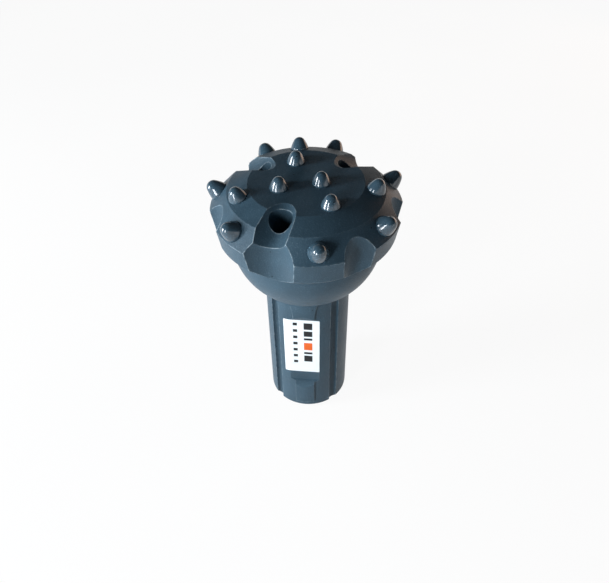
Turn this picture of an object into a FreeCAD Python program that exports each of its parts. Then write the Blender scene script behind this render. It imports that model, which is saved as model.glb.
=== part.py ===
"""Button bit for a low-air-pressure down-the-hole rock hammer.

One forged and turned steel body (head, skirt and shank) carries fourteen pressed-in carbide
buttons and a paper sticker. The origin is the middle of the shank's end face and +Z runs along
the axis towards the cutting face. -Y goes through the retaining flat on the front of the shank.
Angles round the axis are counted from +X towards +Y, in degrees; lengths are in millimetres.
"""
import FreeCAD, Part
import os
import Sketcher
from FreeCAD import Vector

DOCUMENT = "button_bit"
SHEET = "Sizes"

# Driving dimensions: alias, value. Every sketch, feature and placement is bound to these.
SIZES = {
    # turned profile of the head, from the cutting face down
    "face_height": 195.0,
    "face_radius": 36.9,
    "bevel_radius": 50.3,
    "bevel_angle": 20.5,
    "gauge_radius": 62.0,
    "gauge_angle": 46.0,
    "gauge_land": 14.8,
    "relief_angle": 9.8,
    "underside_angle": 45.0,
    "skirt_radius": 50.9,
    # shank
    "shank_radius": 30.0,
    "shank_length": 116.0,
    "shank_chamfer": 3.6,
    "air_bore_radius": 10.0,
    "air_bore_chamfer": 2.0,
    "air_bore_past_holes": 9.0,
    "drill_point_angle": 59.0,
    # lug and pad, the ends of a raised rib, and the retaining flat milled between them
    "rib_proud": 1.5,
    "lug_width": 14.6,
    "lug_bottom": 8.5,
    "pad_width_low": 15.4,
    "pad_width_middle": 17.5,
    "pad_width_top": 21.6,
    "pad_middle": 112.0,
    "flat_depth": 2.1,
    "flat_bottom": 26.0,
    "flat_top": 105.9,
    "flat_cutter_radius": 9.1,
    # air grooves along the shank
    "groove_radius": 3.5,
    "groove_straight": 105.5,
    "groove_runout_radius": 12.5,
    "groove_runout_past": 0.5,
    # chip slots down the side of the head, their depths below the gauge radius
    "side_slot_radius": 12.0,
    "side_slot_depth": 8.3,
    "hole_slot_radius": 19.3,
    "hole_slot_depth": 10.8,
    # scoops and flushing holes in the wide slots
    "scoop_radius": 11.0,
    "scoop_angle": 31.0,
    "scoop_start": 26.0,
    "scoop_lead": 5.0,
    "scoop_length": 60.0,
    "hole_radius": 7.5,
    "hole_tilt": 19.0,
    "hole_meet": 83.5,
    "hole_lag": 2.0,
    # carbide buttons, the rings of them set in from the outer edge of their bevel
    "gauge_button_inset": 5.5,
    "middle_button_inset": 6.5,
    "gauge_button_radius": 6.5,
    "gauge_button_proud": 9.2,
    "gauge_button_nose": 4.6,
    "gauge_button_seat": 13.0,
    "inner_button_radius": 6.0,
    "inner_button_proud": 7.8,
    "inner_button_nose": 4.2,
    "inner_button_seat": 12.0,
    "button_collar": 0.8,
    "button_side_radius": 24.0,
    "button_base_chamfer": 1.0,
    "seat_clearance": 0.2,
    # how far a cutting tool reaches past the surface it starts or ends on
    "overshoot": 10.0,
    # sticker on the flat, wrapped over its left edge
    "sticker_bottom": 42.6,
    "sticker_height": 56.0,
    "sticker_left": 14.8,
    "sticker_right": 11.0,
    "sticker_thickness": 0.2,
}

GAUGE_ANGLES = (179.0, 225.0, 282.5, 331.0, 21.0, 75.5, 124.0)
MIDDLE_ANGLES = (203.5, 357.0, 101.3)
FACE_PLACES = ((23.5, 111.7), (18.3, 209.1), (9.7, 352.8), (30.5, 304.3))
# The slot that lies midway between each gauge button and the next: plain or with a hole.
SLOT_KINDS = ("side", "hole", "side", "side", "hole", "side", "hole")

FULL_TURN = 360.0
HALF = 0.5
GROOVE_COUNT = 4    # air grooves round the shank, midway between the ribs and the sides
RIB_COUNT = 2       # ribs with a retaining flat, opposite each other


def dim(name):
    """Expression that reads one driving dimension."""
    return SHEET + "." + name


def make_sheet(doc):
    """Write the driving dimensions and button places into a spreadsheet with aliases."""
    sheet = doc.addObject("Spreadsheet::Sheet", SHEET)
    rows = dict(SIZES)
    for number, angle in enumerate(GAUGE_ANGLES, 1):
        rows["gauge_azimuth_%d" % number] = angle
    for number, angle in enumerate(MIDDLE_ANGLES, 1):
        rows["middle_azimuth_%d" % number] = angle
    for number, (distance, angle) in enumerate(FACE_PLACES, 1):
        rows["face_distance_%d" % number] = distance
        rows["face_azimuth_%d" % number] = angle
    for row, (alias, value) in enumerate(rows.items(), 1):
        sheet.set("A%d" % row, alias.replace("_", " "))
        sheet.set("B%d" % row, "%g" % value)
        sheet.setAlias("B%d" % row, alias)
    doc.recompute()
    return sheet


# Heights and radii of the turned profile that follow from the driving dimensions.
BEVEL_HEIGHT = "({h} - ({r} - {f}) * tan({a}))".format(
    h=dim("face_height"), r=dim("bevel_radius"), f=dim("face_radius"), a=dim("bevel_angle"))
GAUGE_HEIGHT = "({h} - ({r} - {f}) * tan({a}))".format(
    h=BEVEL_HEIGHT, r=dim("gauge_radius"), f=dim("bevel_radius"), a=dim("gauge_angle"))
RELIEF_HEIGHT = "({h} - {land})".format(h=GAUGE_HEIGHT, land=dim("gauge_land"))
RELIEF_RADIUS = "({r} - {land} * tan({a}))".format(
    r=dim("gauge_radius"), land=dim("gauge_land"), a=dim("relief_angle"))
SKIRT_HEIGHT = "({h} - ({r} - {s}) * tan({a}))".format(
    h=RELIEF_HEIGHT, r=RELIEF_RADIUS, s=dim("skirt_radius"), a=dim("underside_angle"))
RIB_RADIUS = "({r} + {p})".format(r=dim("shank_radius"), p=dim("rib_proud"))
FLAT_DISTANCE = "({r} - {d})".format(r=dim("shank_radius"), d=dim("flat_depth"))
# The skirt's arc starts level with its centre, at the skirt's widest.
SKIRT_ARC = "((({s} - {r}) ^ 2 + ({h} - {l}) ^ 2) / (2 * ({s} - {r})))".format(
    s=dim("skirt_radius"), r=dim("shank_radius"), h=SKIRT_HEIGHT, l=dim("shank_length"))
BORE_TOP = "({m} + {p})".format(m=dim("hole_meet"), p=dim("air_bore_past_holes"))


def plane_of(body, role):
    """Find one of a body's own origin planes by its role, such as XY_Plane."""
    return next(item for item in body.Origin.OriginFeatures if item.Role == role)


def new_sketch(body, name, role):
    """Add a sketch to a body, flat on one of its origin planes."""
    sketch = body.newObject("Sketcher::SketchObject", name)
    sketch.AttachmentSupport = [(plane_of(body, role), "")]
    sketch.MapMode = "FlatFace"
    return sketch


def bind(sketch, kind, places, expression):
    """Add a dimension to a sketch and bind it to an expression."""
    value = number_of(sketch, expression)
    number = sketch.addConstraint(Sketcher.Constraint(kind, *places, value))
    sketch.setExpression("Constraints[%d]" % number, expression)
    return number


def number_of(sketch, expression):
    """Present value of an expression, as a plain number."""
    value = sketch.evalExpression(expression)
    return float(getattr(value, "Value", value))


def place_point(sketch, edge, end, x, y):
    """Dimension one end of an edge from the origin, or set it on an axis where it is 0."""
    origin_point = (-1, 1)
    point = (edge, end)
    axes = {"DistanceX": -2, "DistanceY": -1}
    if x == "0" and y == "0":
        sketch.addConstraint(Sketcher.Constraint("Coincident", *point, *origin_point))
        return
    for kind, expression in (("DistanceX", x), ("DistanceY", y)):
        if expression == "0":
            sketch.addConstraint(Sketcher.Constraint("PointOnObject", *point, axes[kind]))
        elif number_of(sketch, expression) < 0:
            bind(sketch, kind, point + origin_point, "-(" + expression + ")")
        else:
            bind(sketch, kind, origin_point + point, expression)


def draw_outline(sketch, corners, arcs=None):
    """Draw a closed outline through corners given as (x, y) expressions.

    Each corner's place is dimensioned from the origin, so the outline follows the sheet. arcs
    maps the number of an edge to its (radius expression, turn), turn being 1 for an arc that is
    drawn counter-clockwise and -1 for one that is drawn clockwise.
    """
    arcs = arcs or {}
    points = [Vector(number_of(sketch, x), number_of(sketch, y), 0) for x, y in corners]
    edges, ends = [], []
    for number, start in enumerate(points):
        end = points[(number + 1) % len(points)]
        if number in arcs:
            radius_expression, turn = arcs[number]
            radius = number_of(sketch, radius_expression)
            chord = end - start
            rise = (radius ** 2 - (chord.Length / 2) ** 2) ** 0.5
            side = Vector(-chord.y, chord.x, 0).normalize() * turn
            centre = (start + end) / 2 + side * rise
            middle = centre - side * radius
            edges.append(sketch.addGeometry(Part.Arc(start, middle, end), False))
            ends.append((1, 2) if turn > 0 else (2, 1))
            bind(sketch, "Radius", (edges[-1],), radius_expression)
        else:
            edges.append(sketch.addGeometry(Part.LineSegment(start, end), False))
            ends.append((1, 2))
    for number, edge in enumerate(edges):
        before = (edges[number - 1], ends[number - 1][1])
        sketch.addConstraint(Sketcher.Constraint("Coincident", *before, edge, ends[number][0]))
        place_point(sketch, edge, ends[number][0], *corners[number])
    return edges


def feature(body, kind, name, **settings):
    """Add a PartDesign feature with its plain settings."""
    item = body.newObject("PartDesign::" + kind, name)
    for key, value in settings.items():
        setattr(item, key, value)
    return item


def bind_all(item, **expressions):
    """Bind properties of an object to expressions."""
    for key, expression in expressions.items():
        item.setExpression(key, expression)
    return item


def placed(distance, azimuth, height, tilt="0"):
    """Placement at a distance from the axis and a height, its +Z tilted outwards by an angle."""
    text = "placement(vector({d} * cos({a}); {d} * sin({a}); {h}); rotation({a}; {t}; 0))"
    return text.format(d="(" + distance + ")", a="(" + azimuth + ")", h=height, t=tilt)


def drill(body, name, radius, length, place):
    """Take a round cylinder out of a body, starting at a place and running along its +Z."""
    tool = feature(body, "SubtractiveCylinder", name)
    return bind_all(tool, Radius=radius, Height=length, Placement=place)


def pattern_round(body, name, originals, count):
    """Repeat features round the axis of the bit."""
    pattern = feature(body, "PolarPattern", name, Originals=originals,
                      Axis=(plane_of(body, "Z_Axis"), [""]), Angle=FULL_TURN,
                      Occurrences=count)
    body.Tip = pattern
    return pattern


def turn_blank(body):
    """Turn the blank: face, two bevels, gauge land, underside, bowl-shaped skirt and shank."""
    sketch = new_sketch(body, "turned_profile", "XZ_Plane")
    corners = [
        ("0", "0"),
        (dim("shank_radius") + " - " + dim("shank_chamfer"), "0"),
        (dim("shank_radius"), dim("shank_chamfer")),
        (dim("shank_radius"), dim("shank_length")),
        (dim("skirt_radius"), SKIRT_HEIGHT),
        (RELIEF_RADIUS, RELIEF_HEIGHT),
        (dim("gauge_radius"), GAUGE_HEIGHT),
        (dim("bevel_radius"), BEVEL_HEIGHT),
        (dim("face_radius"), dim("face_height")),
        ("0", dim("face_height")),
    ]
    draw_outline(sketch, corners, {3: (SKIRT_ARC, 1)})
    return feature(body, "Revolution", "turned_blank", Profile=sketch, Angle=FULL_TURN,
                   ReferenceAxis=(sketch, ["V_Axis"]))


def rib_section(body, name, width, height):
    """Sketch a rib's cross-section at a height: straight sides and a round outer face."""
    sketch = new_sketch(body, name, "XY_Plane")
    half = "(" + width + " / 2)"
    outer = "sqrt({r} ^ 2 - {w} ^ 2)".format(r=RIB_RADIUS, w=half)
    inner = "(" + dim("shank_radius") + " / 2)"
    corners = [("-" + half, inner), (half, inner), (half, outer), ("-" + half, outer)]
    draw_outline(sketch, corners, {2: (RIB_RADIUS, 1)})
    sketch.setExpression("AttachmentOffset.Base.z", height)
    return sketch


def add_lugs(body):
    """Raise the lug at the lower end of each rib, front and back of the shank."""
    sketch = rib_section(body, "lug_section", dim("lug_width"), dim("lug_bottom"))
    lug = feature(body, "Pad", "lug", Profile=sketch)
    bind_all(lug, Length="{f} + {c} - {b}".format(
        f=dim("flat_bottom"), c=dim("flat_cutter_radius"), b=dim("lug_bottom")))
    pattern_round(body, "lugs", [lug], RIB_COUNT)


def add_pads(body):
    """Raise the pad at the upper end of each rib, flaring with hollow sides into the skirt."""
    places = {
        "low": "{t} - {c}".format(t=dim("flat_top"), c=dim("flat_cutter_radius")),
        "middle": dim("pad_middle"),
        "top": "{l} + 2 * {p}".format(l=dim("shank_length"), p=dim("rib_proud")),
    }
    first, *others = [rib_section(body, "pad_section_" + name, dim("pad_width_" + name), height)
                      for name, height in places.items()]
    pad = feature(body, "AdditiveLoft", "pad", Profile=first, Sections=others)
    pattern_round(body, "pads", [pad], RIB_COUNT)


def mill_flats(body):
    """Mill the retaining flat between lug and pad, with the cutter's run-out at both ends."""
    sketch = new_sketch(body, "flat_side_view", "YZ_Plane")
    cutter = dim("flat_cutter_radius")
    depth = "({p} + {f})".format(p=dim("rib_proud"), f=dim("flat_depth"))
    runout = "sqrt(2 * {r} * {d} - {d} ^ 2)".format(r=cutter, d=depth)
    low, high = dim("flat_bottom"), dim("flat_top")
    outside = "({r} + {o})".format(r=RIB_RADIUS, o=dim("overshoot"))
    corners = [
        (outside, low),
        (outside, high),
        (RIB_RADIUS, high),
        (FLAT_DISTANCE, "({h} - {r})".format(h=high, r=runout)),
        (FLAT_DISTANCE, "({l} + {r})".format(l=low, r=runout)),
        (RIB_RADIUS, low),
    ]
    draw_outline(sketch, corners, {2: (cutter, -1), 4: (cutter, -1)})
    pocket = feature(body, "Pocket", "retaining_flat", Profile=sketch, SideType="Symmetric")
    bind_all(pocket, Length="2 * " + dim("shank_radius"))
    pattern_round(body, "retaining_flats", [pocket], RIB_COUNT)


def mill_air_grooves(body):
    """Cut the air grooves along the shank, each running out to a point below the skirt."""
    shank, runout = dim("shank_radius"), dim("groove_runout_radius")
    radius, top = dim("groove_radius"), dim("groove_straight")
    sweep = "acos({r} / ({r} + {g})) + {p} * 1 deg".format(
        r=runout, g=radius, p=dim("groove_runout_past"))
    place = ("placement(vector(({s} + {r}) * cos({a}); ({s} + {r}) * sin({a}); {h});"
             " rotation({a} + 180; 0; 90))")
    step = FULL_TURN / GROOVE_COUNT
    for number in range(GROOVE_COUNT):
        azimuth = "%g" % (step * (number + HALF))
        drill(body, "air_groove_%d" % (number + 1), radius,
              top + " + " + dim("overshoot"), placed(shank, azimuth, "-" + dim("overshoot")))
        runout_cut = feature(body, "SubtractiveTorus", "air_groove_runout_%d" % (number + 1))
        bind_all(runout_cut, Radius1=runout, Radius2=radius, Angle3=sweep,
                 Placement=place.format(s=shank, r=runout, a=azimuth, h=top))


def bore_air_passage(body):
    """Bore the air passage up the middle from the end of the shank, with a drill point."""
    sketch = new_sketch(body, "air_bore_profile", "XZ_Plane")
    radius = dim("air_bore_radius")
    point = "({t} + {r} / tan({a}))".format(t=BORE_TOP, r=radius, a=dim("drill_point_angle"))
    corners = [
        ("0", "0"),
        (radius + " + " + dim("air_bore_chamfer"), "0"),
        (radius, dim("air_bore_chamfer")),
        (radius, BORE_TOP),
        ("0", point),
    ]
    draw_outline(sketch, corners)
    feature(body, "Groove", "air_bore", Profile=sketch, Angle=FULL_TURN,
            ReferenceAxis=(sketch, ["V_Axis"]))


def azimuth_after(number):
    """Azimuth midway between a gauge button and the next one round, as an expression."""
    following = number % len(GAUGE_ANGLES) + 1
    lap = FULL_TURN if GAUGE_ANGLES[following - 1] < GAUGE_ANGLES[number - 1] else 0
    return "(({a} + {b} + {lap:g}) / 2)".format(
        a=dim("gauge_azimuth_%d" % number), b=dim("gauge_azimuth_%d" % following), lap=lap)


def slots_of(kind):
    """Numbers of the gauge buttons that have a slot of this kind after them."""
    return [number for number, slot in enumerate(SLOT_KINDS, 1) if slot == kind]


def cut_slots(body, kind):
    """Cut chip slots down the side of the head, from the face to below its underside."""
    radius = dim(kind + "_slot_radius")
    distance = "({g} - {d} + {r})".format(
        g=dim("gauge_radius"), d=dim(kind + "_slot_depth"), r=radius)
    length = "({f} - {s} + {o})".format(
        f=dim("face_height"), s=dim("shank_length"), o=dim("overshoot"))
    for number in slots_of(kind):
        place = placed(distance, azimuth_after(number), dim("shank_length"))
        drill(body, "%s_slot_%d" % (kind, number), radius, length, place)


def cut_flushing_holes(body):
    """Drill a sloping flushing hole into each wide slot and mill the scoop that leads from it."""
    slope, radius, lead = dim("scoop_angle"), dim("scoop_radius"), dim("scoop_lead")
    scoop_distance = "{s} + {r} * sin({a}) - {l} * cos({a})".format(
        s=dim("scoop_start"), r=radius, a=slope, l=lead)
    scoop_height = "{f} + {r} * cos({a}) + {l} * sin({a})".format(
        f=dim("face_height"), r=radius, a=slope, l=lead)
    reach = "(({f} - {m}) / cos({t}) + {o})".format(
        f=dim("face_height"), m=dim("hole_meet"), t=dim("hole_tilt"), o=dim("overshoot"))
    for number in slots_of("hole"):
        azimuth = azimuth_after(number) + " - " + dim("hole_lag")
        drill(body, "scoop_%d" % number, radius, dim("scoop_length"),
              placed(scoop_distance, azimuth, scoop_height, "90 + " + slope))
        drill(body, "flushing_hole_%d" % number, dim("hole_radius"), reach,
              placed("0", azimuth, dim("hole_meet"), dim("hole_tilt")))


def button_places():
    """Every button: its name, its kind and its distance, azimuth, surface height and tilt."""
    places = []
    gauge = "({g} - {i})".format(g=dim("gauge_radius"), i=dim("gauge_button_inset"))
    height = "({h} - ({r} - {b}) * tan({a}))".format(
        h=BEVEL_HEIGHT, r=gauge, b=dim("bevel_radius"), a=dim("gauge_angle"))
    for number in range(1, len(GAUGE_ANGLES) + 1):
        places.append(("gauge_button_%d" % number, "gauge_button", gauge,
                       dim("gauge_azimuth_%d" % number), height, dim("gauge_angle")))
    middle = "({b} - {i})".format(b=dim("bevel_radius"), i=dim("middle_button_inset"))
    height = "({h} - ({r} - {b}) * tan({a}))".format(
        h=dim("face_height"), r=middle, b=dim("face_radius"), a=dim("bevel_angle"))
    for number in range(1, len(MIDDLE_ANGLES) + 1):
        places.append(("middle_button_%d" % number, "inner_button", middle,
                       dim("middle_azimuth_%d" % number), height, dim("bevel_angle")))
    for number in range(1, len(FACE_PLACES) + 1):
        places.append(("face_button_%d" % number, "inner_button",
                       dim("face_distance_%d" % number), dim("face_azimuth_%d" % number),
                       dim("face_height"), "0"))
    return places


def bore_sockets(body):
    """Bore the socket of every button, square to the surface it stands on."""
    for name, kind, distance, azimuth, height, tilt in button_places():
        depth = "({s} + {c})".format(s=dim(kind + "_seat"), c=dim("seat_clearance"))
        place = placed("{d} - {s} * sin({t})".format(d=distance, s=depth, t=tilt), azimuth,
                       "{h} - {s} * cos({t})".format(h=height, s=depth, t=tilt), tilt)
        drill(body, name.replace("button", "socket"), dim(kind + "_radius"),
              "{s} + {o}".format(s=depth, o=dim("overshoot")), place)


def make_bit_body(doc):
    """The one-piece steel bit: turned, milled, drilled and bored for its buttons."""
    body = doc.addObject("PartDesign::Body", "bit_body")
    turn_blank(body)
    add_lugs(body)
    add_pads(body)
    mill_flats(body)
    mill_air_grooves(body)
    cut_slots(body, "side")
    cut_slots(body, "hole")
    cut_flushing_holes(body)
    bore_air_passage(body)
    bore_sockets(body)
    return body


def make_button(doc, name, kind, place):
    """A carbide button: cylinder in its socket, low collar, bowed side and round nose."""
    body = doc.addObject("PartDesign::Body", name)
    sketch = new_sketch(body, name + "_profile", "XZ_Plane")
    radius, chamfer = dim(kind + "_radius"), dim("button_base_chamfer")
    nose, side, collar = dim(kind + "_nose"), dim("button_side_radius"), dim("button_collar")
    foot = "(-" + dim(kind + "_seat") + ")"
    nose_height = "({p} - {n})".format(p=dim(kind + "_proud"), n=nose)
    # The side arc's centre is level with neither end: it is as far from the collar's edge as its
    # own radius, and from the nose's centre as its radius less the nose's, so the arcs flow on.
    span = "sqrt({r} ^ 2 + ({h} - {c}) ^ 2)".format(r=radius, h=nose_height, c=collar)
    reach = "({s} - {n})".format(s=side, n=nose)
    lean = "atan2({h} - {c}; -{r})".format(h=nose_height, c=collar, r=radius)
    apex = "acos(({w} ^ 2 + {s} ^ 2 - {e} ^ 2) / (2 * {w} * {s}))".format(
        w=span, s=side, e=reach)
    centre_x = "({r} + {s} * cos({l} + {a}))".format(r=radius, s=side, l=lean, a=apex)
    centre_y = "({c} + {s} * sin({l} + {a}))".format(c=collar, s=side, l=lean, a=apex)
    touch_x = "(-{x} * {n} / {e})".format(x=centre_x, n=nose, e=reach)
    touch_y = "({h} + ({h} - {y}) * {n} / {e})".format(h=nose_height, y=centre_y, n=nose, e=reach)
    corners = [
        ("0", foot),
        (radius + " - " + chamfer, foot),
        (radius, foot + " + " + chamfer),
        (radius, collar),
        (touch_x, touch_y),
        ("0", dim(kind + "_proud")),
    ]
    draw_outline(sketch, corners, {3: (side, 1), 4: (nose, 1)})
    feature(body, "Revolution", name + "_turned", Profile=sketch, Angle=FULL_TURN,
            ReferenceAxis=(sketch, ["V_Axis"]))
    bind_all(body, Placement=place)
    return body


def make_sticker(doc):
    """Paper sticker on the front flat, wrapped over the flat's left edge onto the shank."""
    skin = "({r} + {t})".format(r=dim("shank_radius"), t=dim("sticker_thickness"))
    flat_skin = "({f} + {t})".format(f=FLAT_DISTANCE, t=dim("sticker_thickness"))
    low, tall = dim("sticker_bottom"), dim("sticker_height")
    across = "({l} + {r})".format(l=dim("sticker_left"), r=dim("sticker_right"))

    def rod(name, radius):
        item = doc.addObject("Part::Cylinder", name)
        return bind_all(item, Radius=radius, Height=tall,
                        Placement="placement(vector(0; 0; " + low + "); rotation(0; 0; 0))")

    def half_space(name, distance):
        item = doc.addObject("Part::Box", name)
        place = "placement(vector(-{l}; -{d}; {z}); rotation(0; 0; 0))".format(
            l=dim("sticker_left"), d=distance, z=low)
        return bind_all(item, Length=across, Width=skin, Height=tall, Placement=place)

    def combine(kind, name, base, tool):
        item = doc.addObject("Part::" + kind, name)
        item.Base, item.Tool = base, tool
        return item

    outer = combine("Common", "sticker_outside", rod("sticker_rod", skin),
                    half_space("sticker_block", flat_skin))
    inner = combine("Common", "sticker_inside", rod("shank_rod", dim("shank_radius")),
                    half_space("shank_block", FLAT_DISTANCE))
    return combine("Cut", "sticker", outer, inner)


def check_objects(doc):
    """Stop when any object failed to build or any shape is empty or broken."""
    for item in doc.Objects:
        bad = [state for state in item.State if state in ("Invalid", "Error")]
        if bad:
            raise RuntimeError("%s did not build: %s" % (item.Name, bad))
        if hasattr(item, "Shape") and item.TypeId != "Sketcher::SketchObject":
            if item.Shape.isNull() or not item.Shape.isValid():
                raise RuntimeError("%s has no sound shape" % item.Name)


def main():
    """Build every piece and write one STEP file for each."""
    doc = FreeCAD.newDocument(DOCUMENT)
    make_sheet(doc)
    pieces = [make_bit_body(doc)]
    for name, kind, distance, azimuth, height, tilt in button_places():
        place = placed(distance, azimuth, height, tilt)
        pieces.append(make_button(doc, name, kind, place))
    pieces.append(make_sticker(doc))
    doc.recompute()
    check_objects(doc)
    os.makedirs("parts", exist_ok=True)
    for piece in pieces:
        piece.Label = piece.Name
        piece.Shape.exportStep("parts/" + piece.Label + ".step")
        print(piece.Label, round(piece.Shape.Volume, 1), len(piece.Shape.Solids),
              piece.Shape.BoundBox)


main()
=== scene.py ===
"""Looks of a painted button drill bit: satin enamel on steel and carbide, and a paper sticker."""
import bpy
import math
from bpy.props import FloatProperty, FloatVectorProperty, PointerProperty, StringProperty
from mathutils import Matrix, Vector


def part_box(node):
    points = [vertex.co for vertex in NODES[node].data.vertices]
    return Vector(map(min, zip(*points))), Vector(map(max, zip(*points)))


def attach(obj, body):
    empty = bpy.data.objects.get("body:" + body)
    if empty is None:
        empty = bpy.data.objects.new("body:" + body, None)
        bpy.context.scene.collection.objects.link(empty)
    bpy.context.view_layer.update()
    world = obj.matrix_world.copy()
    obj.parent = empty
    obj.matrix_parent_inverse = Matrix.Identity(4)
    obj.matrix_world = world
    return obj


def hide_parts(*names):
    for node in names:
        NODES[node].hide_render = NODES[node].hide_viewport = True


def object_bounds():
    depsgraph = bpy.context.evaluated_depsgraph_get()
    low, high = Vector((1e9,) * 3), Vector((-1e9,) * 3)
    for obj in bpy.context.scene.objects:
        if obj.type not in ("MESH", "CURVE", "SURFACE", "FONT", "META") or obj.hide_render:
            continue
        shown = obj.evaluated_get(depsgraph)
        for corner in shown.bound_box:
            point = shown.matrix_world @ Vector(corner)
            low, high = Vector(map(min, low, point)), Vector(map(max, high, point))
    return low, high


bl_info = {
    "name": "Button Drill Bit",
    "version": (1, 0, 0),
    "blender": (4, 5, 0),
    "location": "View3D > Sidebar > Drill Bit",
    "description": "Paints a down-the-hole button bit, labels it and sets it on a studio floor",
    "category": "Object",
}

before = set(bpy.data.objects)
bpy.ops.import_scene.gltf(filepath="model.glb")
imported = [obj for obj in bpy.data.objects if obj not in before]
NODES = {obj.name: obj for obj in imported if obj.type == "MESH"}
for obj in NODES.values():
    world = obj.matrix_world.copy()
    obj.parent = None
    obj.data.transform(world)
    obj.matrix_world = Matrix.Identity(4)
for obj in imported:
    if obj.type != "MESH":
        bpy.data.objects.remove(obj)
CAD_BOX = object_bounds()
BODY = "root"
BUTTONS = sorted(name for name in NODES if "_button_" in name)
MM = 0.001
RIM_REACH = 7.2 * MM     # from the middle of a button's box to its joint with the steel
FLOOR_RADIUS = 4.0       # metres
GLOW_SHARE = 0.93        # how much of the floor's white is plain, the rest takes the shadow
# Name, direction from the bit, distance and size in metres, colour, and the power's setting.
LAMPS = (
    ("side_window", (-0.93, -0.34, 0.22), 1.2, (0.3, 0.6), "#f2f8ff", "window_power"),
    ("front_window", (-0.50, -0.86, 0.22), 1.2, (0.2, 0.6), "#f2f8ff", "front_power"),
    ("warm_bounce", (0.80, 0.70, 0.18), 0.9, (0.7, 0.35), "#e8b48c", "warm_power"),
    ("far_window", (0.85, -0.50, 0.12), 1.2, (0.5, 0.6), "#eaf3ff", "fill_power"),
)


def srgb(code):
    """Linear RGBA from an sRGB hex colour such as "#44596c"."""
    values = [int(code[place:place + 2], 16) / 255 for place in (1, 3, 5)]
    linear = [v / 12.92 if v <= 0.04045 else ((v + 0.055) / 1.055) ** 2.4 for v in values]
    return (*linear, 1.0)


def per_mm(size):
    """Texture scale whose pattern repeats about once in a real size given in millimetres."""
    return 1.0 / (size * MM)


def add(tree, kind, inputs=None, **settings):
    """Add a node with its settings; inputs are values or the sockets that feed them."""
    item = tree.nodes.new(kind)
    for key, value in settings.items():
        setattr(item, key, value)
    for key, value in (inputs or {}).items():
        if isinstance(value, bpy.types.NodeSocket):
            tree.links.new(value, item.inputs[key])
        else:
            item.inputs[key].default_value = value
    return item


def new_material(name):
    """An empty node material with the given name, its tree and its output node."""
    material = bpy.data.materials.new(name)
    material.use_nodes = True
    tree = material.node_tree
    tree.nodes.clear()
    return material, tree, add(tree, "ShaderNodeOutputMaterial")


def sees_background(tree):
    """1 for rays that see the plain background: from the camera, through glass or mirrored."""
    rays = add(tree, "ShaderNodeLightPath").outputs
    direct = add(tree, "ShaderNodeMath", {
        0: rays["Is Camera Ray"], 1: rays["Is Transmission Ray"]}, operation="MAXIMUM")
    return add(tree, "ShaderNodeMath", {
        0: direct.outputs["Value"], 1: rays["Is Glossy Ray"]},
        operation="MAXIMUM").outputs["Value"]


def assign(item, material):
    """Make a material the only one on an object."""
    if not item.material_slots:
        item.data.materials.append(material)
    for slot in item.material_slots:
        slot.material = material


# --------------------------------------------------------------------------- settings

class PaintSettings(bpy.types.PropertyGroup):
    """Satin enamel on the steel body and over the buttons."""
    colour: StringProperty(
        name="Paint", description="sRGB colour of the enamel", default="#374d5a")
    # The thin paint colour also serves as a painted highlight along the edges.
    thin_paint_and_highlight_colour: StringProperty(
        name="Thin paint", description="sRGB colour where the enamel has drawn thin on an edge",
        default="#aebfc6")
    dust_colour: StringProperty(
        name="Grit", description="sRGB colour of the pale grit caught in the enamel",
        default="#4a606d")
    pit_colour: StringProperty(
        name="Pits", description="sRGB colour of small pits in the forged skin",
        default="#18222a")
    peel: FloatProperty(
        name="Orange peel", description="Distance between the ripples of the sprayed enamel",
        default=2.4 * MM, min=0.5 * MM, max=10 * MM, subtype="DISTANCE", unit="LENGTH")
    # How far in the pale edge reaches, thin enamel and painted highlight alike.
    edge: FloatProperty(
        name="Edge wear", description="How far in from an edge the enamel is thin",
        default=0.85 * MM, min=0.1 * MM, max=5 * MM, subtype="DISTANCE", unit="LENGTH")
    roughness: FloatProperty(
        name="Roughness", description="Roughness of the enamel on the steel",
        default=0.45, min=0.0, max=1.0, subtype="FACTOR")
    button_roughness: FloatProperty(
        name="Button roughness", description="Roughness of the enamel on the ground buttons",
        default=0.15, min=0.0, max=1.0, subtype="FACTOR")


class StickerSettings(bpy.types.PropertyGroup):
    """Coated paper label with a plain generic print."""
    paper: StringProperty(
        name="Paper", description="sRGB colour of the label stock", default="#eef5f6")
    ink: StringProperty(
        name="Ink", description="sRGB colour of the dark bars", default="#15181b")
    accent: StringProperty(
        name="Accent", description="sRGB colour of the bright stripe", default="#e4631f")
    thickness: FloatProperty(
        name="Thickness", description="Thickness of the label stock", default=0.14 * MM,
        min=0.05 * MM, max=0.5 * MM, subtype="DISTANCE", unit="LENGTH")
    corner: FloatProperty(
        name="Corner radius", description="Radius of the label's corners", default=0.5 * MM,
        min=0.1 * MM, max=5 * MM, subtype="DISTANCE", unit="LENGTH")
    stiffness: FloatProperty(
        name="Stiffness", description="How far the label stands off the round past the flat",
        default=0.5, min=0.0, max=1.0, subtype="FACTOR")


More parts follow.
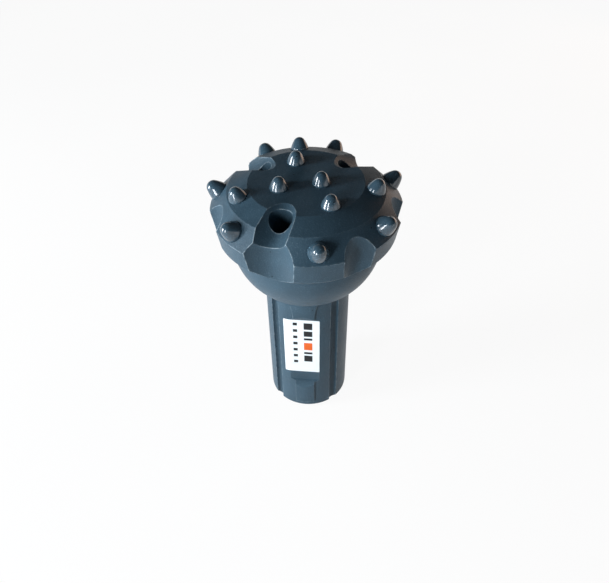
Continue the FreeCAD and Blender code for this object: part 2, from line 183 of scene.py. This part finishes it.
class StageSettings(bpy.types.PropertyGroup):
    """Floor, lamps and camera."""
    floor_colour: StringProperty(
        name="Floor", description="sRGB colour of the studio floor", default="#ffffff")
    window_power: FloatProperty(
        name="Window", description="Power of the window to the left", default=19.0,
        min=0.0, max=500.0, unit="POWER")
    warm_power: FloatProperty(
        name="Warm bounce", description="Power of the warm light behind to the right",
        default=1.6, min=0.0, max=100.0, unit="POWER")
    front_power: FloatProperty(
        name="Front window", description="Power of the window to the left of the front",
        default=9.0, min=0.0, max=500.0, unit="POWER")
    fill_power: FloatProperty(
        name="Far window", description="Power of the weak light to the right", default=0.5,
        min=0.0, max=100.0, unit="POWER")
    room: FloatProperty(
        name="Room", description="Brightness of the room light", default=0.07, min=0.0, max=2.0)
    lens: FloatProperty(
        name="Lens", description="Focal length on a 36 mm wide sensor", default=35.94,
        min=10.0, max=200.0)
    camera_place: FloatVectorProperty(
        name="Camera", description="Where the camera stands", default=(0.03373, -0.32087, 0.40617),
        subtype="XYZ", unit="LENGTH")
    camera_turn: FloatVectorProperty(
        name="Camera turn", description="Pitch from straight down, roll and heading",
        default=(math.radians(46.506), math.radians(-1.1), math.radians(6.417)),
        subtype="EULER", unit="ROTATION")


# --------------------------------------------------------------------------- materials

def enamel(name, settings, roughness, sheen, grain, rims, wear_and_highlight):
    """Alkyd machinery enamel sprayed over steel: satin, rippled, gritty, thin on the edges, with a
    painted highlight along them.

    rims are (centre, radius) of the places where a button stands in the surface: there the
    enamel bridges the joint and no edge shows. sheen is the strength of its reflections, grain
    is how far the grit stands up and wear_and_highlight is how strongly the pale edges show, thin
    paint with a painted highlight, each 0 to 1.
    """
    material, tree, output = new_material(name)
    place = add(tree, "ShaderNodeTexCoord").outputs["Object"]

    # Slow clouds of thicker and thinner paint, over about 15 mm.
    clouds = add(tree, "ShaderNodeTexNoise", {"Vector": place, "Scale": per_mm(15), "Detail": 3.0})
    cloud_value = add(tree, "ShaderNodeMapRange", {
        "Value": clouds.outputs["Fac"], "From Min": 0.3, "From Max": 0.7,
        "To Min": 0.90, "To Max": 1.10})
    # Grit of 0.2 mm sealed in the paint, drawn 0.9 mm coarse so that it shows.
    grit = add(tree, "ShaderNodeTexNoise", {
        "Vector": place, "Scale": per_mm(0.9), "Detail": 2.0, "Roughness": 0.7})
    grit_mask = add(tree, "ShaderNodeMapRange", {
        "Value": grit.outputs["Fac"], "From Min": 0.56, "From Max": 0.74})
    paint = add(tree, "ShaderNodeMix", {
        "Factor": grit_mask.outputs["Result"], "A": srgb(settings.colour),
        "B": srgb(settings.dust_colour)}, data_type="RGBA")
    tinted = add(tree, "ShaderNodeHueSaturation", {
        "Color": paint.outputs["Result"], "Value": cloud_value.outputs["Result"]})

    # Small pits of the forged skin, about 0.9 mm wide, in a few of the cells of 7 mm.
    cells = add(tree, "ShaderNodeTexVoronoi", {"Vector": place, "Scale": per_mm(7)})
    chosen = add(tree, "ShaderNodeSeparateColor", {"Color": cells.outputs["Color"]})
    rare = add(tree, "ShaderNodeMath", {0: chosen.outputs["Red"], 1: 0.62},
               operation="GREATER_THAN")
    pit = add(tree, "ShaderNodeMapRange", {
        "Value": cells.outputs["Distance"], "From Min": 0.05, "From Max": 0.09,
        "To Min": 1.0, "To Max": 0.0})
    pit_mask = add(tree, "ShaderNodeMath", {0: pit.outputs["Result"], 1: rare.outputs["Value"]},
                   operation="MULTIPLY")
    pitted = add(tree, "ShaderNodeMix", {
        "Factor": pit_mask.outputs["Value"], "A": tinted.outputs["Color"],
        "B": srgb(settings.pit_colour)}, data_type="RGBA")

    # How near the surface is to a button's rim, in metres, below 0 inside the rim.
    near = None
    for centre, radius in rims:
        distance = add(tree, "ShaderNodeVectorMath", {0: place, 1: centre},
                       operation="DISTANCE").outputs["Value"]
        gap = add(tree, "ShaderNodeMath", {0: distance, 1: radius}, operation="SUBTRACT")
        near = gap if near is None else add(
            tree, "ShaderNodeMath", {0: near.outputs["Value"], 1: gap.outputs["Value"]},
            operation="MINIMUM")

    # Enamel draws back from sharp edges, and the edges carry a painted highlight: pale and broken
    # along the edge.
    edges = add(tree, "ShaderNodeAmbientOcclusion", {"Distance": settings.edge},
                inside=True, only_local=True, samples=8)
    edge = add(tree, "ShaderNodeMapRange", {
        "Value": edges.outputs["AO"], "From Min": 0.93, "From Max": 0.66})
    ragged = add(tree, "ShaderNodeTexNoise", {
        "Vector": place, "Scale": per_mm(3.5), "Detail": 3.0, "Roughness": 0.65})
    ragged_mask = add(tree, "ShaderNodeMapRange", {
        "Value": ragged.outputs["Fac"], "From Min": 0.38, "From Max": 0.62, "To Max": wear_and_highlight})
    wear_and_highlight_mask = add(tree, "ShaderNodeMath", {
        0: edge.outputs["Result"], 1: ragged_mask.outputs["Result"]}, operation="MULTIPLY")
    # The pale edges, thin paint and painted highlight, are kept stronger on the head than on the
    # shank: handling rubs the head's edges more.
    height = add(tree, "ShaderNodeSeparateXYZ", {"Vector": place}).outputs["Z"]
    stronger_on_head = add(tree, "ShaderNodeMapRange", {
        "Value": height, "From Min": 110 * MM, "From Max": 130 * MM, "To Min": 0.3})
    wear_and_highlight_mask = add(tree, "ShaderNodeMath", {
        0: wear_and_highlight_mask.outputs["Value"], 1: stronger_on_head.outputs["Result"]}, operation="MULTIPLY")
    if near is not None:
        clear = add(tree, "ShaderNodeMapRange", {
            "Value": near.outputs["Value"], "From Min": 1.0 * MM, "From Max": 2.5 * MM})
        wear_and_highlight_mask = add(tree, "ShaderNodeMath", {
            0: wear_and_highlight_mask.outputs["Value"], 1: clear.outputs["Result"]}, operation="MULTIPLY")
    # Pale colour on the edges: partly thin enamel, partly a painted highlight.
    coloured = add(tree, "ShaderNodeMix", {
        "Factor": wear_and_highlight_mask.outputs["Value"], "A": pitted.outputs["Result"],
        "B": srgb(settings.thin_paint_and_highlight_colour)}, data_type="RGBA")

    # Ripples of the sprayed coat, then the grit standing in it, over edges rounded by the coat.
    rounded = add(tree, "ShaderNodeBevel", {"Radius": 0.45 * MM}, samples=6)
    ripples = add(tree, "ShaderNodeTexNoise", {
        "Vector": place, "Scale": 1.0 / settings.peel, "Detail": 2.0})
    rippled = add(tree, "ShaderNodeBump", {
        "Strength": 0.35, "Distance": 0.12 * MM, "Height": ripples.outputs["Fac"],
        "Normal": rounded.outputs["Normal"]})
    gritty = add(tree, "ShaderNodeBump", {
        "Strength": grain, "Distance": 0.16 * MM, "Height": grit.outputs["Fac"],
        "Normal": rippled.outputs["Normal"]})
    gloss = add(tree, "ShaderNodeMapRange", {
        "Value": clouds.outputs["Fac"], "From Min": 0.3, "From Max": 0.7,
        "To Min": roughness - 0.05, "To Max": roughness + 0.05})
    surface = add(tree, "ShaderNodeBsdfPrincipled", {
        "Base Color": coloured.outputs["Result"], "Roughness": gloss.outputs["Result"],
        "IOR": 1.52, "Specular IOR Level": sheen, "Normal": gritty.outputs["Normal"]})
    tree.links.new(surface.outputs["BSDF"], output.inputs["Surface"])
    return material


def inside_band(tree, value, low, high, soft=0.12 * MM):
    """1 where a coordinate lies between two values, 0 elsewhere, with a soft printed edge."""
    above = add(tree, "ShaderNodeMapRange", {
        "Value": value, "From Min": low - soft, "From Max": low + soft})
    below = add(tree, "ShaderNodeMapRange", {
        "Value": value, "From Min": high + soft, "From Max": high - soft})
    return add(tree, "ShaderNodeMath", {
        0: above.outputs["Result"], 1: below.outputs["Result"]},
        operation="MULTIPLY").outputs["Value"]


def label_stock(settings, low, high):
    """Coated paper, digitally printed: smooth, white, with matt ink bars and faint creases."""
    material, tree, output = new_material("coated_label_paper")
    place = add(tree, "ShaderNodeTexCoord").outputs["Object"]
    axes = add(tree, "ShaderNodeSeparateXYZ", {"Vector": place})
    across, up = axes.outputs["X"], axes.outputs["Z"]
    width, height = high.x - low.x, high.z - low.z
    # Two columns of plain bars as (left, right, bottom, top) in shares of the label, then their
    # colour: five wide ones, one of them bright, and a row of small ones beside them.
    wide = [(0.05, 0.17, settings.ink), (0.20, 0.30, settings.ink), (0.33, 0.37, settings.ink),
            (0.42, 0.56, settings.accent), (0.60, 0.64, settings.ink),
            (0.67, 0.79, settings.ink)]
    bars = [(0.56, 0.80, 1 - end, 1 - start, ink) for start, end, ink in wide]
    bars += [(0.26, 0.38, 0.90 - 0.12 * step, 0.95 - 0.12 * step, settings.ink)
             for step in range(7)]
    fibres = add(tree, "ShaderNodeTexNoise", {"Vector": place, "Scale": per_mm(6), "Detail": 4.0})
    mottle = add(tree, "ShaderNodeMapRange", {
        "Value": fibres.outputs["Fac"], "To Min": 0.95, "To Max": 1.02})
    colour = add(tree, "ShaderNodeHueSaturation", {
        "Color": srgb(settings.paper), "Value": mottle.outputs["Result"]}).outputs["Color"]
    for left, right, bottom, top, ink in bars:
        column = inside_band(tree, across, low.x + left * width, low.x + right * width)
        row = inside_band(tree, up, low.z + bottom * height, low.z + top * height)
        mask = add(tree, "ShaderNodeMath", {0: column, 1: row}, operation="MULTIPLY")
        colour = add(tree, "ShaderNodeMix", {
            "Factor": mask.outputs["Value"], "A": colour, "B": srgb(ink)},
            data_type="RGBA").outputs["Result"]
    creases = add(tree, "ShaderNodeTexNoise", {"Vector": place, "Scale": per_mm(9), "Detail": 1.0})
    bumpy = add(tree, "ShaderNodeBump", {
        "Strength": 0.3, "Distance": 0.1 * MM, "Height": creases.outputs["Fac"]})
    surface = add(tree, "ShaderNodeBsdfPrincipled", {
        "Base Color": colour, "Roughness": 0.45, "Specular IOR Level": 0.3,
        "Normal": bumpy.outputs["Normal"]})
    tree.links.new(surface.outputs["BSDF"], output.inputs["Surface"])
    return material


# --------------------------------------------------------------------------- operators

def button_rims():
    """Centre and reach of each button's joint with the steel, from the CAD nodes' boxes."""
    rims = []
    for name in BUTTONS:
        low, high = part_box(name)
        rims.append(((Vector(low) + Vector(high)) / 2, RIM_REACH))
    return rims


class DRILLBIT_OT_paint_body(bpy.types.Operator):
    """Give the steel body its satin enamel"""
    bl_idname = "drillbit.paint_body"
    bl_label = "Paint Steel Body"

    def execute(self, context):
        settings = context.scene.drillbit_paint
        material = enamel("satin_enamel_on_forged_steel", settings, settings.roughness,
                          sheen=0.2, grain=1.0, rims=button_rims(), wear_and_highlight=0.9)
        assign(NODES["bit_body"], material)
        return {"FINISHED"}


class DRILLBIT_OT_paint_buttons(bpy.types.Operator):
    """Give the carbide buttons their smoother, glossier coat"""
    bl_idname = "drillbit.paint_buttons"
    bl_label = "Paint Carbide Buttons"

    def execute(self, context):
        settings = context.scene.drillbit_paint
        material = enamel("thin_enamel_on_ground_carbide", settings, settings.button_roughness,
                          sheen=0.7, grain=0.12, rims=[], wear_and_highlight=0.0)
        for name in BUTTONS:
            assign(NODES[name], material)
        return {"FINISHED"}


class DRILLBIT_OT_stick_label(bpy.types.Operator):
    """Cut a paper label and lay it over the flat and round its left edge"""
    bl_idname = "drillbit.stick_label"
    bl_label = "Stick Label"

    def execute(self, context):
        settings = context.scene.drillbit_sticker
        low, high = (Vector(corner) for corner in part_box("sticker"))
        middle, size = (low + high) / 2, high - low
        bpy.ops.object.select_all(action="DESELECT")
        bpy.ops.mesh.primitive_grid_add(
            x_subdivisions=40, y_subdivisions=90, size=1.0,
            location=(middle.x, low.y - 2 * MM, middle.z), rotation=(math.pi / 2, 0, 0))
        label = context.active_object
        label.name = "paper_label"
        label.scale = (size.x, size.z, 1.0)
        bpy.ops.object.transform_apply(location=True, rotation=True, scale=True)
        self.round_corners(label, low, high, settings.corner)
        wrap = label.modifiers.new("wrap", "SHRINKWRAP")
        wrap.target = NODES["bit_body"]
        wrap.wrap_method = "PROJECT"
        wrap.use_project_y = True
        wrap.use_negative_direction = False
        wrap.use_positive_direction = True
        wrap.offset = 0.03 * MM
        bpy.ops.object.modifier_apply(modifier=wrap.name)
        self.stand_off(label, settings.stiffness)
        stock = label.modifiers.new("stock", "SOLIDIFY")
        stock.thickness = settings.thickness
        stock.offset = 1.0
        bpy.ops.object.modifier_apply(modifier=stock.name)
        bpy.ops.object.shade_smooth_by_angle(angle=math.radians(30))
        assign(label, label_stock(settings, low, high))
        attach(label, BODY)
        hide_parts("sticker")
        return {"FINISHED"}

    @staticmethod
    def stand_off(label, stiffness):
        """Let the stiff paper stand off the round, where it wraps past the flat."""
        flat = min(vertex.co.y for vertex in label.data.vertices)
        for vertex in label.data.vertices:
            vertex.co.y -= stiffness * (vertex.co.y - flat)

    @staticmethod
    def round_corners(label, low, high, radius):
        """Draw the label's corners in to their radius."""
        for vertex in label.data.vertices:
            place = vertex.co
            centre_x = min(max(place.x, low.x + radius), high.x - radius)
            centre_z = min(max(place.z, low.z + radius), high.z - radius)
            offset = Vector((place.x - centre_x, 0.0, place.z - centre_z))
            if offset.x and offset.z and offset.length > radius:
                offset = offset.normalized() * radius
                place.x, place.z = centre_x + offset.x, centre_z + offset.z


class DRILLBIT_OT_set_stage(bpy.types.Operator):
    """Lay the floor and set the lamps, the room light and the camera"""
    bl_idname = "drillbit.set_stage"
    bl_label = "Set Stage"

    def execute(self, context):
        settings = context.scene.drillbit_stage
        self.lay_floor(context, settings)
        self.light_room(context, settings)
        for name, direction, distance, size, colour, power in LAMPS:
            self.hang_lamp(name, direction, distance, size, colour, getattr(settings, power))
        self.aim_camera(context, settings)
        context.scene.view_settings.view_transform = "Standard"
        return {"FINISHED"}

    @staticmethod
    def lay_floor(context, settings):
        """A wide pale floor under the bit, white to the eye and in reflections, with a shadow."""
        bpy.ops.object.select_all(action="DESELECT")
        bpy.ops.mesh.primitive_circle_add(
            vertices=96, radius=FLOOR_RADIUS, fill_type="NGON", location=(0, 0, CAD_BOX[0][2]))
        floor = context.active_object
        floor.name = "studio_floor"
        bpy.ops.object.transform_apply(location=True, rotation=True, scale=True)
        material, tree, output = new_material("matt_studio_floor")
        cloudy = add(tree, "ShaderNodeTexNoise", {
            "Vector": add(tree, "ShaderNodeTexCoord").outputs["Object"], "Scale": per_mm(400)})
        pale = add(tree, "ShaderNodeHueSaturation", {
            "Color": srgb(settings.floor_colour), "Value": add(tree, "ShaderNodeMapRange", {
                "Value": cloudy.outputs["Fac"], "To Min": 0.99, "To Max": 1.02}
                ).outputs["Result"]})
        paper = add(tree, "ShaderNodeBsdfDiffuse", {"Color": pale.outputs["Color"]})
        glow = add(tree, "ShaderNodeEmission", {"Color": pale.outputs["Color"]})
        glow_share = add(tree, "ShaderNodeMath", {
            0: sees_background(tree), 1: GLOW_SHARE}, operation="MULTIPLY")
        blend = add(tree, "ShaderNodeMixShader", {
            0: glow_share.outputs["Value"], 1: paper.outputs["BSDF"], 2: glow.outputs["Emission"]})
        tree.links.new(blend.outputs["Shader"], output.inputs["Surface"])
        assign(floor, material)

    @staticmethod
    def light_room(context, settings):
        """Dim cool room light, with a white backdrop round the floor up to about 15 degrees."""
        world = bpy.data.worlds.new("room")
        context.scene.world = world
        world.use_nodes = True
        tree = world.node_tree
        tree.nodes.clear()
        direction = add(tree, "ShaderNodeTexCoord").outputs["Generated"]
        rise = add(tree, "ShaderNodeSeparateXYZ", {"Vector": direction}).outputs["Z"]
        backdrop = add(tree, "ShaderNodeMapRange", {
            "Value": rise, "From Min": 0.28, "From Max": 0.18})
        shown = add(tree, "ShaderNodeMath", {
            0: sees_background(tree), 1: backdrop.outputs["Result"]}, operation="MULTIPLY")
        room = add(tree, "ShaderNodeBackground", {
            "Color": srgb("#dbe6f0"), "Strength": settings.room})
        white = add(tree, "ShaderNodeBackground", {"Color": srgb("#ffffff"), "Strength": 1.0})
        blend = add(tree, "ShaderNodeMixShader", {
            0: shown.outputs["Value"], 1: room.outputs["Background"],
            2: white.outputs["Background"]})
        output = add(tree, "ShaderNodeOutputWorld")
        tree.links.new(blend.outputs["Shader"], output.inputs["Surface"])

    @staticmethod
    def hang_lamp(name, direction, distance, size, colour, power):
        """A rectangular soft lamp in a direction from the bit, turned to face it."""
        low, high = (Vector(corner) for corner in CAD_BOX)
        middle = (low + high) / 2
        data = bpy.data.lights.new(name, "AREA")
        data.shape = "RECTANGLE"
        data.size, data.size_y = size
        data.color = srgb(colour)[:3]
        data.energy = power
        lamp = bpy.data.objects.new(name, data)
        bpy.context.collection.objects.link(lamp)
        offset = Vector(direction).normalized() * distance
        turn = (-offset).to_track_quat("-Z", "Y").to_matrix().to_4x4()
        lamp.matrix_world = Matrix.Translation(middle + offset) @ turn

    @staticmethod
    def aim_camera(context, settings):
        """Set the camera in front, above and a little to the right."""
        data = bpy.data.cameras.new("camera")
        data.lens = settings.lens
        data.sensor_width = 36.0
        data.clip_start = 0.01
        camera = bpy.data.objects.new("camera", data)
        context.collection.objects.link(camera)
        pitch, roll, heading = settings.camera_turn
        camera.matrix_world = (
            Matrix.Translation(settings.camera_place) @ Matrix.Rotation(heading, 4, "Z")
            @ Matrix.Rotation(pitch, 4, "X") @ Matrix.Rotation(roll, 4, "Z"))
        context.scene.camera = camera


OPERATORS = (DRILLBIT_OT_paint_body, DRILLBIT_OT_paint_buttons, DRILLBIT_OT_stick_label,
             DRILLBIT_OT_set_stage)
SETTINGS = {"drillbit_paint": PaintSettings, "drillbit_sticker": StickerSettings,
            "drillbit_stage": StageSettings}


class DRILLBIT_PT_sidebar(bpy.types.Panel):
    """Steps that dress the bit, with their settings"""
    bl_idname = "DRILLBIT_PT_sidebar"
    bl_label = "Drill Bit"
    bl_space_type = "VIEW_3D"
    bl_region_type = "UI"
    bl_category = "Drill Bit"

    def draw(self, context):
        for key, group in SETTINGS.items():
            box = self.layout.box()
            box.label(text=group.bl_rna.description)
            for name in group.__annotations__:
                box.prop(getattr(context.scene, key), name)
        for operator in OPERATORS:
            self.layout.operator(operator.bl_idname)


def register():
    """Register the settings, the operators and the panel."""
    for key, group in SETTINGS.items():
        bpy.utils.register_class(group)
        setattr(bpy.types.Scene, key, PointerProperty(type=group))
    for operator in OPERATORS:
        bpy.utils.register_class(operator)
    bpy.utils.register_class(DRILLBIT_PT_sidebar)


def unregister():
    """Take the panel, the operators and the settings away again."""
    bpy.utils.unregister_class(DRILLBIT_PT_sidebar)
    for operator in reversed(OPERATORS):
        bpy.utils.unregister_class(operator)
    for key, group in SETTINGS.items():
        delattr(bpy.types.Scene, key)
        bpy.utils.unregister_class(group)


def main():
    """Dress the bit step by step."""
    register()
    bpy.ops.drillbit.paint_body()
    bpy.ops.drillbit.paint_buttons()
    bpy.ops.drillbit.stick_label()
    bpy.ops.drillbit.set_stage()


if __name__ == "__main__":
    main()
